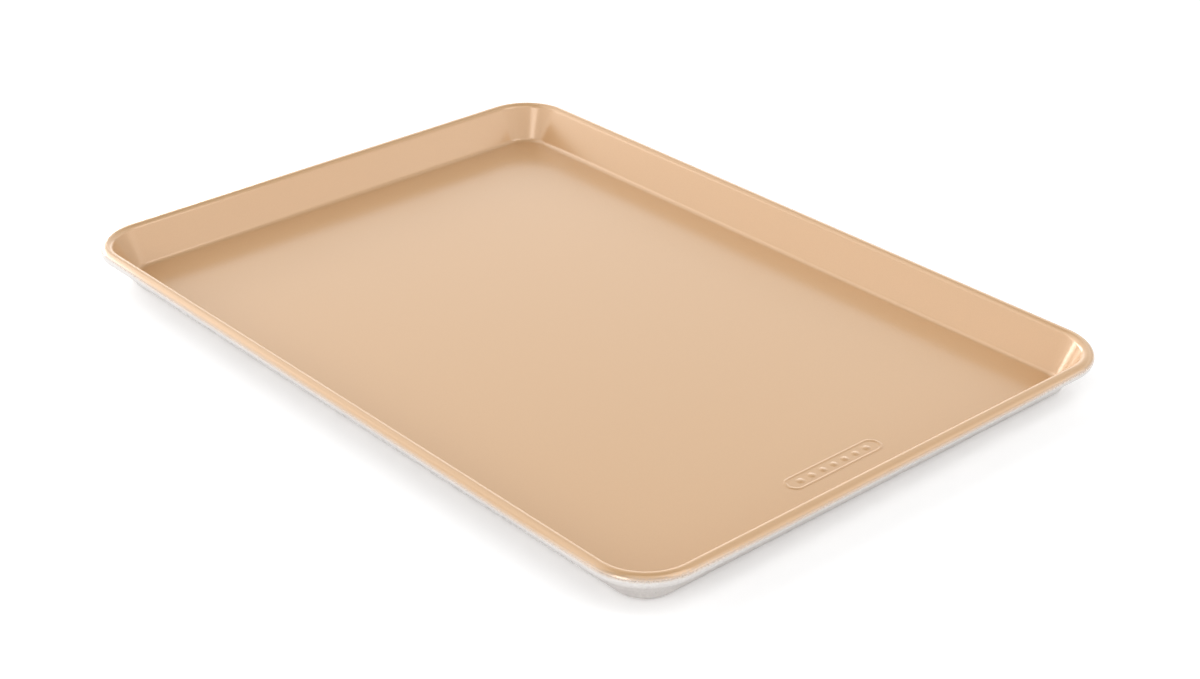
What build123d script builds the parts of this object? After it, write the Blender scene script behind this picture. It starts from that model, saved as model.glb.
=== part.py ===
from build123d import *
import math
import os

# Millimetres. X runs along the long sides, Y along the short sides and Z up.
# The origin is the middle of the flat base, on the surface that the pan stands on.

# Over the outside of the rolled rim
rim_length = 394.0
rim_width = 277.0
pan_height = 19.0
rim_corner_radius = 26.5

# The pressed sheet. The base inset runs from the rim's outer edge to the foot of the wall,
# taken where the wall's outer face would meet the base without a bend.
sheet_thickness = 1.0
base_inset = 13.0
floor_bend_radius = 3.0

# The wire, and the curl that is rolled round it
wire_diameter = 4.0
wire_clearance = 0.1
wire_end_gap = 1.0
curl_gap = 0.3

# Radii of the curl and of the bend between floor and wall, inside and outside the sheet
wire_radius = wire_diameter / 2
curl_inner_radius = wire_radius + wire_clearance
curl_radius = curl_inner_radius + sheet_thickness
bend_outer_radius = floor_bend_radius + sheet_thickness

# The wall leans out so that its outer face runs from the base inset to the inside of the curl.
curl_inset = curl_radius
curl_height = pan_height - curl_radius
curl_reach = math.hypot(base_inset - curl_inset, curl_height)
curl_slope = math.atan2(curl_height, base_inset - curl_inset)
wall_flare = math.acos(curl_inner_radius / curl_reach) - curl_slope
bend_inset = base_inset + bend_outer_radius * (1 - math.sin(wall_flare)) / math.cos(wall_flare)

# The curl stops short of the wall by its gap.
curl_wrap = math.tau - math.acos((curl_inner_radius - curl_gap) / curl_radius)

# The rim's four corners share one axis each with the wall and the floor bend below them.
corner_x = rim_length / 2 - rim_corner_radius
corner_y = rim_width / 2 - rim_corner_radius
corner_axes = [(corner_x, corner_y), (-corner_x, corner_y), (-corner_x, -corner_y), (corner_x, -corner_y)]

# Sections are drawn with x as the distance out from a corner's axis and y as the height.
curl_centre = Vector(rim_corner_radius - curl_inset, curl_height)
bend_centre = Vector(rim_corner_radius - bend_inset, bend_outer_radius)


def sheet_section():
    """The sheet from the edge of the flat floor up the wall and round the curl to its cut edge."""
    flare_degrees = math.degrees(wall_flare)
    bend_turn = 90 - flare_degrees
    curl_start = 180 - flare_degrees
    curl_turn = -math.degrees(curl_wrap)
    bend_inside = CenterArc(bend_centre, floor_bend_radius, -90, bend_turn)
    bend_outside = CenterArc(bend_centre, bend_outer_radius, -90, bend_turn)
    curl_inside = CenterArc(curl_centre, curl_inner_radius, curl_start, curl_turn)
    curl_outside = CenterArc(curl_centre, curl_radius, curl_start, curl_turn)
    floor_edge = Line(bend_outside @ 0, bend_inside @ 0)
    wall_inside = Line(bend_inside @ 1, curl_outside @ 0)
    wall_outside = Line(bend_outside @ 1, curl_inside @ 0)
    cut_edge = Line(curl_inside @ 1, curl_outside @ 1)
    return make_face(
        [floor_edge, bend_inside, wall_inside, curl_outside, cut_edge, curl_inside, wall_outside, bend_outside]
    )


def round_the_rim(section):
    """Carry a section round the four corners and along the four straight sides between them."""
    lengths = []
    for number, (x, y) in enumerate(corner_axes):
        next_x, next_y = corner_axes[(number + 1) % len(corner_axes)]
        place = Pos(x, y, 0)
        start = place * Rot(0, 0, 90 * number) * (Plane.XZ * section)
        end = place * Rot(0, 0, 90 * number + 90) * (Plane.XZ * section)
        travel = Vector(next_x - x, next_y - y, 0)
        lengths.append(revolve(start, axis=Axis((x, y, 0), (0, 0, 1)), revolution_arc=90))
        lengths.append(extrude(end, amount=travel.length, dir=travel))
    return lengths


def flat_floor():
    """The flat of the floor, out to where the bend starts."""
    corner = bend_centre.X
    outline = RectangleRounded(2 * (corner_x + corner), 2 * (corner_y + corner), corner)
    return extrude(outline, amount=sheet_thickness)


def pan_body():
    """One pressed sheet: floor, bend, flared wall and the curl, all of one thickness."""
    return flat_floor() + round_the_rim(sheet_section())


def rim_wire():
    """The reinforcing wire, bent to the rim with its two ends butted behind the middle of a long side."""
    section = Pos(curl_centre.X, curl_centre.Y) * Circle(wire_radius)
    ring = Part() + round_the_rim(section)
    gap_place = Pos(0, corner_y + curl_centre.X, curl_height)
    return ring - gap_place * Box(wire_end_gap, 2 * wire_diameter, 2 * wire_diameter)


nodes = {"pan_body": pan_body, "rim_wire": rim_wire}

os.makedirs("parts", exist_ok=True)
for name, make in nodes.items():
    export_step(make(), f"parts/{name}.step")

print(f"curl radius {curl_radius:.3f}, wall flare {math.degrees(wall_flare):.2f} degrees")
print(f"flat floor {2 * (corner_x + bend_centre.X):.2f} x {2 * (corner_y + bend_centre.X):.2f}")
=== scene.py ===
import math

import bpy
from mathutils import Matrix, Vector


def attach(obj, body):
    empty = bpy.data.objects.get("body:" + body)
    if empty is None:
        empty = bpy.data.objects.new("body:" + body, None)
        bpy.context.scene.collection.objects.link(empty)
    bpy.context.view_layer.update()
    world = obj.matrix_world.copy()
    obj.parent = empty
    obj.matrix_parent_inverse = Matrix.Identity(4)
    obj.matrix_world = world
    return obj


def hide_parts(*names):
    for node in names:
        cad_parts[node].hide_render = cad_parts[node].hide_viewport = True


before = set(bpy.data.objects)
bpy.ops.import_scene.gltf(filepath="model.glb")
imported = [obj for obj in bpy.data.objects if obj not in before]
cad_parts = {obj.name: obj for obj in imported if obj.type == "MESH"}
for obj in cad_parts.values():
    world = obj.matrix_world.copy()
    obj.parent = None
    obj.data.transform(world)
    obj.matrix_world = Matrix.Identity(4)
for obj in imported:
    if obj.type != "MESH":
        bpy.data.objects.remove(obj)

bpy.ops.object.select_all(action="DESELECT")
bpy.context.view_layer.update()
scene = bpy.context.scene

# ---- Sizes of the pan, in metres ----

rim_length = 0.394
rim_width = 0.277
pan_height = 0.019
rim_corner_radius = 0.0265
sheet_thickness = 0.001
base_inset = 0.013
floor_bend_radius = 0.003
curl_radius = 0.0031
curl_bore = curl_radius - sheet_thickness
curl_gap = 0.0003

# The pan is drawn along the middle of its sheet, and this much inside the CAD box.
half_sheet = sheet_thickness / 2
inside_the_box = 0.00001

curl_height = pan_height - curl_radius
wall_run = base_inset - curl_radius
wall_flare = math.acos(curl_bore / math.hypot(wall_run, curl_height)) - math.atan2(curl_height, wall_run)
bend_outer_radius = floor_bend_radius + sheet_thickness
bend_inset = base_inset + bend_outer_radius * (1 - math.sin(wall_flare)) / math.cos(wall_flare)
curl_wrap = math.tau - math.acos((curl_bore - curl_gap) / curl_radius)
corner_x = rim_length / 2 - rim_corner_radius
corner_y = rim_width / 2 - rim_corner_radius

# How many steps each round part is drawn in, and the angle above which an edge stays sharp
bend_steps = 10
curl_steps = 46
corner_steps = 28
sharp_edge = math.radians(35)

# Points closer than this are the same point.
near = half_sheet / 50

# The plain pressed panel on the floor beside one short side: a rounded border line round a row of studs
panel_x = 0.161
panel_half_width = 0.0042
panel_half_length = 0.0262
panel_margin = 0.0022
panel_line = 0.0007
panel_cuts = 48
panel_height = 0.0003
panel_smoothing = 4
stud_radius = 0.0021
stud_pitch = 0.0064
studs_each_side = 3

# Where the coating ends on the curl's outer side: the upward part of the face's normal where half is left.
# It ends higher on the corners than along the sides, and a little higher towards the left and the front.
# It fades over this much each way.
coating_ends_on_side = 0.235
coating_ends_higher_on_corner = 0.25
coating_ends_higher_at_left = 0.11
coating_ends_higher_at_front = 0.065
coating_fade = 0.5

# Rows of points across each side, this far apart from its corner on, where the coating's edge comes down
side_rows = (0.017, 0.012, 0.013)

# Points of the section beside a corner's axis
bend_centre = Vector((corner_x + rim_corner_radius - bend_inset, corner_y, bend_outer_radius))
curl_centre = Vector((corner_x + rim_corner_radius - curl_radius, corner_y, curl_height))
middle_bend_radius = floor_bend_radius + half_sheet
middle_curl_radius = curl_radius - half_sheet - inside_the_box


# ---- The pan's sheet ----

def select_points(wanted):
    """In edit mode, select the points whose place passes the test, and nothing else."""
    bpy.ops.object.mode_set(mode="OBJECT")
    mesh = bpy.context.object.data
    for part in (*mesh.polygons, *mesh.edges):
        part.select = False
    for point in mesh.vertices:
        point.select = wanted(point.co)
    bpy.ops.object.mode_set(mode="EDIT")
    bpy.ops.mesh.select_mode(type="VERT")


def extrude(x, y, z):
    bpy.ops.mesh.extrude_region_move(TRANSFORM_OT_translate={"value": (x, y, z)})


def draw_section():
    """One line along the middle of the sheet: floor, bend, wall and curl, beside one corner's axis."""
    bpy.ops.mesh.primitive_plane_add(size=sheet_thickness, location=(corner_x, corner_y, half_sheet))
    bpy.ops.object.transform_apply(location=True)
    bpy.ops.object.mode_set(mode="EDIT")
    bpy.ops.mesh.merge(type="CENTER")
    extrude(bend_centre.x - corner_x, 0, 0)
    bpy.ops.mesh.spin(steps=bend_steps, angle=math.pi / 2 - wall_flare, center=bend_centre, axis=(0, 1, 0))
    wall_normal = Vector((math.cos(wall_flare), 0, -math.sin(wall_flare)))
    wall_foot = bend_centre + wall_normal * middle_bend_radius
    wall_head = curl_centre - wall_normal * middle_curl_radius
    extrude(*(wall_head - wall_foot))
    bpy.ops.mesh.spin(steps=curl_steps, angle=-curl_wrap, center=curl_centre, axis=(0, 1, 0))


def cut_floor(place, normal):
    """Cut the floor's own faces along an upright plane."""
    select_points(lambda co: co.z < sheet_thickness and abs(co.x) < bend_centre.x)
    bpy.ops.mesh.bisect(plane_co=place, plane_no=normal)


def from_panel_line(co):
    """How far a point on the floor is from the middle of the panel's border line."""
    past_end = max(abs(co.y) - (panel_half_length - panel_half_width), 0)
    return abs(math.hypot(past_end, co.x - panel_x) - panel_half_width)


def press_panel():
    """Press the panel's soft-edged border and studs up out of the floor, while the sheet has no thickness."""
    reach_x = panel_half_width + panel_margin
    reach_y = panel_half_length + panel_margin
    panel_cell = 2 * reach_x / (panel_cuts + 1)
    for side in (-1, 1):
        cut_floor((panel_x + side * reach_x, 0, 0), (1, 0, 0))
        cut_floor((0, side * reach_y, 0), (0, 1, 0))
        cut_floor((0, side * reach_y / 2, 0), (0, 1, 0))

    def on_panel(co, margin=near):
        beside = abs(co.x - panel_x) < reach_x + margin and abs(co.y) < reach_y + margin
        return beside and co.z < sheet_thickness

    select_points(on_panel)
    bpy.ops.mesh.subdivide(number_cuts=panel_cuts)
    select_points(lambda co: on_panel(co) and from_panel_line(co) < panel_line / 2)
    bpy.ops.transform.translate(value=(0, 0, panel_height))
    select_points(lambda co: on_panel(co, -near))
    bpy.ops.mesh.vertices_smooth(factor=0.5, repeat=panel_smoothing)
    for number in range(-studs_each_side, studs_each_side + 1):
        middle = Vector((panel_x, number * stud_pitch, half_sheet))
        select_points(lambda co: (co - middle).length < panel_cell)
        bpy.ops.transform.translate(value=(0, 0, panel_height), use_proportional_edit=True,
                                    proportional_edit_falloff="SMOOTH", proportional_size=stud_radius)


def extrude_side(length, x, y):
    """Carry the selected points along a side to the pan's mid-plane, with the side's rows on the way."""
    for row in (*side_rows, length - sum(side_rows)):
        extrude(row * x, row * y, 0)


def coating_ends(x, y):
    """Where the coating ends on the rim beside this place."""
    from_corner = max(corner_x - abs(x), corner_y - abs(y), 0)
    beside_corner = max(1 - from_corner / sum(side_rows), 0)
    beside_corner = beside_corner * beside_corner * (3 - 2 * beside_corner)
    at_left = -x / (rim_length / 2)
    at_front = -y / (rim_width / 2)
    return (coating_ends_on_side + coating_ends_higher_on_corner * beside_corner
            + coating_ends_higher_at_left * at_left + coating_ends_higher_at_front * at_front)


def mark_coating(pan):
    """Store each point's share of coating: all of it on the upper face, fading over the rim's outer side."""
    mesh = pan.data
    coating = mesh.attributes.new("coating", "FLOAT", "POINT")
    curl_out = curl_centre.x - corner_x
    for point, normal, share in zip(mesh.vertices, mesh.vertex_normals, coating.data):
        place = point.co
        out = math.hypot(max(abs(place.x) - corner_x, 0), max(abs(place.y) - corner_y, 0))
        rise = normal.vector.z
        in_bore = math.hypot(out - curl_out, place.z - curl_height) < curl_radius - half_sheet
        if out > curl_out and not in_bore:
            past_end = (rise - coating_ends(place.x, place.y)) / coating_fade
            share.value = min(1, max(0, (past_end + 1) / 2))
        else:
            share.value = 1 if rise > coating_ends_on_side and not in_bore else 0


def make_pan():
    """A quarter of the sheet from its section, the other three mirrored, the panel, and the thickness."""
    draw_section()
    pan = bpy.context.object
    pan.name = pan.data.name = "pan_sheet"
    bpy.ops.mesh.select_all(action="SELECT")
    bpy.ops.mesh.spin(steps=corner_steps, angle=-math.pi / 2, center=(corner_x, corner_y, 0), axis=(0, 0, 1))
    select_points(lambda co: abs(co.x - corner_x) < near and co.y > corner_y - near)
    extrude_side(corner_x, -1, 0)
    select_points(lambda co: abs(co.y - corner_y) < near and co.x > corner_x - near)
    extrude_side(corner_y, 0, -1)
    select_points(lambda co: abs(co.y - corner_y) < near and co.x < corner_x + near)
    extrude_side(corner_y, 0, -1)
    bpy.ops.mesh.select_all(action="SELECT")
    bpy.ops.mesh.remove_doubles(threshold=near)
    bpy.ops.object.mode_set(mode="OBJECT")
    mirror = pan.modifiers.new("mirror", "MIRROR")
    mirror.use_axis = (True, True, False)
    mirror.merge_threshold = near
    bpy.ops.object.modifier_apply(modifier="mirror")
    press_panel()
    bpy.ops.mesh.select_all(action="SELECT")
    bpy.ops.mesh.normals_make_consistent(inside=False)
    bpy.ops.object.mode_set(mode="OBJECT")
    solid = pan.modifiers.new("thickness", "SOLIDIFY")
    solid.thickness = sheet_thickness
    solid.offset = 0
    solid.use_even_offset = True
    bpy.ops.object.modifier_apply(modifier="thickness")
    bpy.ops.object.shade_smooth_by_angle(angle=sharp_edge)
    weight = pan.modifiers.new("flat_faces_flat", "WEIGHTED_NORMAL")
    weight.weight = 100
    weight.keep_sharp = True
    bpy.ops.object.modifier_apply(modifier="flat_faces_flat")
    mark_coating(pan)
    return pan


pan = make_pan()
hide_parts("pan_body")
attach(pan, "root")


# ---- Materials ----

def new_material(name):
    """An empty node material with one Principled shader on its output."""
    material = bpy.data.materials.new(name)
    material.use_nodes = True
    nodes = material.node_tree.nodes
    nodes.clear()
    shader = nodes.new("ShaderNodeBsdfPrincipled")
    output = nodes.new("ShaderNodeOutputMaterial")
    material.node_tree.links.new(shader.outputs["BSDF"], output.inputs["Surface"])
    return material, shader


def add_node(material, kind, **settings):
    """A new node in a material, with its properties set by name."""
    node = material.node_tree.nodes.new(kind)
    for name, value in settings.items():
        setattr(node, name, value)
    return node


def link(material, source, target):
    material.node_tree.links.new(source, target)


def noise(material, scale, detail=2.0, stretch=(1, 1, 1)):
    """Noise on object coordinates, as so many cells to the metre, stretched along the axes."""
    place = add_node(material, "ShaderNodeTexCoord")
    mapping = add_node(material, "ShaderNodeMapping")
    mapping.inputs["Scale"].default_value = stretch
    texture = add_node(material, "ShaderNodeTexNoise")
    texture.inputs["Scale"].default_value = scale
    texture.inputs["Detail"].default_value = detail
    link(material, place.outputs["Object"], mapping.inputs["Vector"])
    link(material, mapping.outputs["Vector"], texture.inputs["Vector"])
    return texture.outputs["Fac"]


def spread(material, source, low, high, start=0.3, stop=0.7):
    """Carry a noise's middle range onto the range from low to high."""
    node = add_node(material, "ShaderNodeMapRange")
    node.inputs["From Min"].default_value = start
    node.inputs["From Max"].default_value = stop
    node.inputs["To Min"].default_value = low
    node.inputs["To Max"].default_value = high
    link(material, source, node.inputs["Value"])
    return node.outputs["Result"]


def arithmetic(material, operation, first, second):
    node = add_node(material, "ShaderNodeMath", operation=operation)
    for socket, value in zip(node.inputs, (first, second)):
        if isinstance(value, float):
            socket.default_value = value
        else:
            link(material, value, socket)
    return node.outputs["Value"]


def blend_values(material, share, first, second):
    """One number or socket where share is 0 and another where it is 1."""
    node = add_node(material, "ShaderNodeMix")
    link(material, share, node.inputs[0])
    for socket, value in zip(node.inputs[2:4], (first, second)):
        if isinstance(value, float):
            socket.default_value = value
        else:
            link(material, value, socket)
    return node.outputs[0]


def blend_colours(material, share, first, second):
    """One colour or socket where share is 0 and another where it is 1."""
    node = add_node(material, "ShaderNodeMix", data_type="RGBA")
    link(material, share, node.inputs[0])
    for socket, value in zip(node.inputs[6:8], (first, second)):
        if isinstance(value, tuple):
            socket.default_value = (*value, 1)
        else:
            link(material, value, socket)
    return node.outputs[2]


def add_bump(material, shader, height, strength, distance):
    bump = add_node(material, "ShaderNodeBump")
    bump.inputs["Strength"].default_value = strength
    bump.inputs["Distance"].default_value = distance
    link(material, height, bump.inputs["Height"])
    link(material, bump.outputs["Normal"], shader.inputs["Normal"])


def pan_sheet_material():
    """Champagne-gold lacquer with fine flake on the coated side, and rolled bare aluminium on the other."""
    material, shader = new_material("gold_coating_on_aluminium")
    coating = add_node(material, "ShaderNodeAttribute", attribute_name="coating")
    speckle = spread(material, noise(material, 2600.0), -0.16, 0.16)
    frayed = arithmetic(material, "ADD", coating.outputs["Fac"], speckle)
    coated = spread(material, frayed, 0.0, 1.0, 0.12, 0.88)

    flake = spread(material, noise(material, 5200.0, 1.0), 0.0, 1.0)
    cloud = spread(material, noise(material, 14.0, 3.0), 0.0, 1.0)
    gold = blend_colours(material, flake, (0.612, 0.381, 0.200), (0.660, 0.419, 0.226))
    gold = blend_colours(material, arithmetic(material, "MULTIPLY", cloud, 0.35), gold, (0.641, 0.396, 0.207))
    grain = spread(material, noise(material, 160.0, 6.0, (0.12, 9, 9)), 0.0, 1.0)
    bare = blend_colours(material, grain, (0.64, 0.61, 0.59), (0.72, 0.69, 0.67))
    link(material, blend_colours(material, coated, bare, gold), shader.inputs["Base Color"])
    link(material, blend_values(material, coated, 1.0, 0.1), shader.inputs["Metallic"])

    gold_rough = spread(material, cloud, 0.185, 0.215, 0.0, 1.0)
    bare_rough = spread(material, grain, 0.36, 0.27, 0.0, 1.0)
    link(material, blend_values(material, coated, bare_rough, gold_rough), shader.inputs["Roughness"])
    shader.inputs["IOR"].default_value = 1.8

    peel = arithmetic(material, "MULTIPLY", noise(material, 700.0), 0.5)
    add_bump(material, shader, blend_values(material, coated, grain, peel), 0.25, 0.00001)
    return material


def steel_material():
    """Drawn steel wire: grey, with fine die lines and duller patches of drawing soap."""
    material, shader = new_material("drawn_steel")
    die_lines = spread(material, noise(material, 900.0, 3.0, (1, 1, 6)), 0.0, 1.0)
    patches = spread(material, noise(material, 45.0, 4.0), 0.0, 1.0)
    steel = blend_colours(material, die_lines, (0.50, 0.51, 0.52), (0.60, 0.61, 0.62))
    link(material, blend_colours(material, patches, steel, (0.52, 0.52, 0.51)), shader.inputs["Base Color"])
    link(material, blend_values(material, patches, 0.28, 0.42), shader.inputs["Roughness"])
    shader.inputs["Metallic"].default_value = 1.0
    add_bump(material, shader, die_lines, 0.3, 0.00002)
    return material


pan.data.materials.append(pan_sheet_material())
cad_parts["pan_body"].material_slots[0].material = pan.data.materials[0]
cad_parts["rim_wire"].material_slots[0].material = steel_material()


# ---- Camera ----

camera_place = (0.67444, -0.57427, 0.46524)
camera_looks_down = math.radians(28.01)
camera_turned = math.radians(48.37)

camera = bpy.data.cameras.new("studio_camera")
camera.sensor_width = 36
camera.lens = 66.18
camera.shift_x = -0.0135
camera_object = bpy.data.objects.new("studio_camera", camera)
camera_object.location = camera_place
camera_object.rotation_euler = (math.pi / 2 - camera_looks_down, 0, camera_turned)
scene.collection.objects.link(camera_object)
scene.camera = camera_object


# ---- Floor, world and lamps ----

floor_size = 8
floor_clearance = 0.00002
floor_paint = 0.8
floor_paint_seen = 1.15
floor_glow = 0.04

# The world's strength at shares of the way up, from the horizon to straight overhead
world_peak = 1.5
world_levels = ((0.0, 0.8), (0.15, 0.7), (0.35, 1.43), (0.6, 0.84), (0.85, 0.03), (1.0, 0.03))

# Each lamp's name, azimuth and elevation in degrees, distance, width and height in metres, and brightness
studio_lamps = (
    ("front_box", 16, 27, 1.4, 0.45, 0.45, 2.6),
    ("front_high", 50, 62, 1.6, 1.0, 1.0, 1.0),
    ("left_box", 288, 24, 1.5, 0.9, 0.8, 1.35),
    ("left_low", 268, 9, 1.5, 1.25, 0.35, 6.0),
    ("left_high", 265, 49, 1.6, 0.8, 0.8, 0.9),
    ("front_left_low", 321, 10, 1.6, 0.9, 0.5, 0.6),
    ("front_left_high", 309, 52, 1.6, 0.9, 0.9, 1.05),
    ("right_high", 110, 52, 1.6, 0.9, 0.9, 1.9),
    ("right_low", 127, 14, 1.6, 0.9, 0.45, 0.6),
    ("back_low", 228, 9, 1.6, 1.3, 0.42, 1.4),
    ("back_high", 175, 54, 1.6, 0.8, 0.8, 0.5),
)


def toward(azimuth, elevation):
    """A direction from the pan: azimuth 0 is its front long side, and 90 its right short side."""
    across, up = math.radians(azimuth), math.radians(elevation)
    return Vector((math.sin(across) * math.cos(up), -math.cos(across) * math.cos(up), math.sin(up)))


def seen_directly(nodes, links):
    """1 for rays that show a thing itself, straight or in a mirror, and 0 for those that only carry light."""
    path = nodes.new("ShaderNodeLightPath")
    either = nodes.new("ShaderNodeMath")
    either.operation = "MAXIMUM"
    links.new(path.outputs["Is Camera Ray"], either.inputs[0])
    links.new(path.outputs["Is Glossy Ray"], either.inputs[1])
    any_of_three = nodes.new("ShaderNodeMath")
    any_of_three.operation = "MAXIMUM"
    links.new(either.outputs["Value"], any_of_three.inputs[0])
    links.new(path.outputs["Is Transmission Ray"], any_of_three.inputs[1])
    return any_of_three.outputs["Value"]


def make_floor():
    """A pale floor that keeps the pan's shadow, looks white where it is open, and is clear from below."""
    bpy.ops.mesh.primitive_plane_add(size=floor_size, location=(0, 0, -floor_clearance))
    floor = bpy.context.object
    floor.name = "studio_floor"
    material = bpy.data.materials.new("studio_floor")
    material.use_nodes = True
    nodes, links = material.node_tree.nodes, material.node_tree.links
    nodes.clear()
    seen = seen_directly(nodes, links)
    paint_level = nodes.new("ShaderNodeMix")
    links.new(seen, paint_level.inputs[0])
    paint_level.inputs[2].default_value = floor_paint
    paint_level.inputs[3].default_value = floor_paint_seen
    paint = nodes.new("ShaderNodeBsdfDiffuse")
    links.new(paint_level.outputs[0], paint.inputs["Color"])
    glow_level = nodes.new("ShaderNodeMath")
    glow_level.operation = "MULTIPLY"
    glow_level.inputs[1].default_value = floor_glow
    links.new(seen, glow_level.inputs[0])
    glow = nodes.new("ShaderNodeEmission")
    links.new(glow_level.outputs["Value"], glow.inputs["Strength"])
    both = nodes.new("ShaderNodeAddShader")
    output = nodes.new("ShaderNodeOutputMaterial")
    links.new(paint.outputs["BSDF"], both.inputs[0])
    links.new(glow.outputs["Emission"], both.inputs[1])
    clear = nodes.new("ShaderNodeBsdfTransparent")
    side = nodes.new("ShaderNodeNewGeometry")
    one_way = nodes.new("ShaderNodeMixShader")
    links.new(side.outputs["Backfacing"], one_way.inputs["Fac"])
    links.new(both.outputs["Shader"], one_way.inputs[1])
    links.new(clear.outputs["BSDF"], one_way.inputs[2])
    links.new(one_way.outputs["Shader"], output.inputs["Surface"])
    floor.data.materials.append(material)


def make_world():
    """Soft light all round, brightest a third of the way up."""
    world = bpy.data.worlds.new("studio_world")
    world.use_nodes = True
    nodes, links = world.node_tree.nodes, world.node_tree.links
    background = nodes["Background"]
    background.inputs["Color"].default_value = (1, 1, 1, 1)
    place = nodes.new("ShaderNodeTexCoord")
    height = nodes.new("ShaderNodeSeparateXYZ")
    links.new(place.outputs["Generated"], height.inputs["Vector"])
    level = nodes.new("ShaderNodeFloatCurve")
    points = level.mapping.curves[0].points
    while len(points) < len(world_levels):
        points.new(0.5, 0.5)
    for point, (share, strength) in zip(points, world_levels):
        point.location = (share, strength / world_peak)
        point.handle_type = "VECTOR"
    level.mapping.update()
    links.new(height.outputs["Z"], level.inputs["Value"])
    scaled = nodes.new("ShaderNodeMath")
    scaled.operation = "MULTIPLY"
    scaled.inputs[1].default_value = world_peak
    links.new(level.outputs["Value"], scaled.inputs[0])
    links.new(scaled.outputs["Value"], background.inputs["Strength"])
    scene.world = world


def add_lamp(name, azimuth, elevation, distance, width, height, radiance):
    """A soft box that faces the pan from a given direction."""
    lamp = bpy.data.lights.new(name, "AREA")
    lamp.shape = "RECTANGLE"
    lamp.size = width
    lamp.size_y = height
    lamp.energy = math.pi * width * height * radiance
    lamp_object = bpy.data.objects.new(name, lamp)
    lamp_object.location = toward(azimuth, elevation) * distance
    lamp_object.rotation_euler = (-lamp_object.location).to_track_quat("-Z", "Y").to_euler()
    scene.collection.objects.link(lamp_object)


make_floor()
make_world()
for lamp in studio_lamps:
    add_lamp(*lamp)
scene.view_settings.view_transform = "Standard"
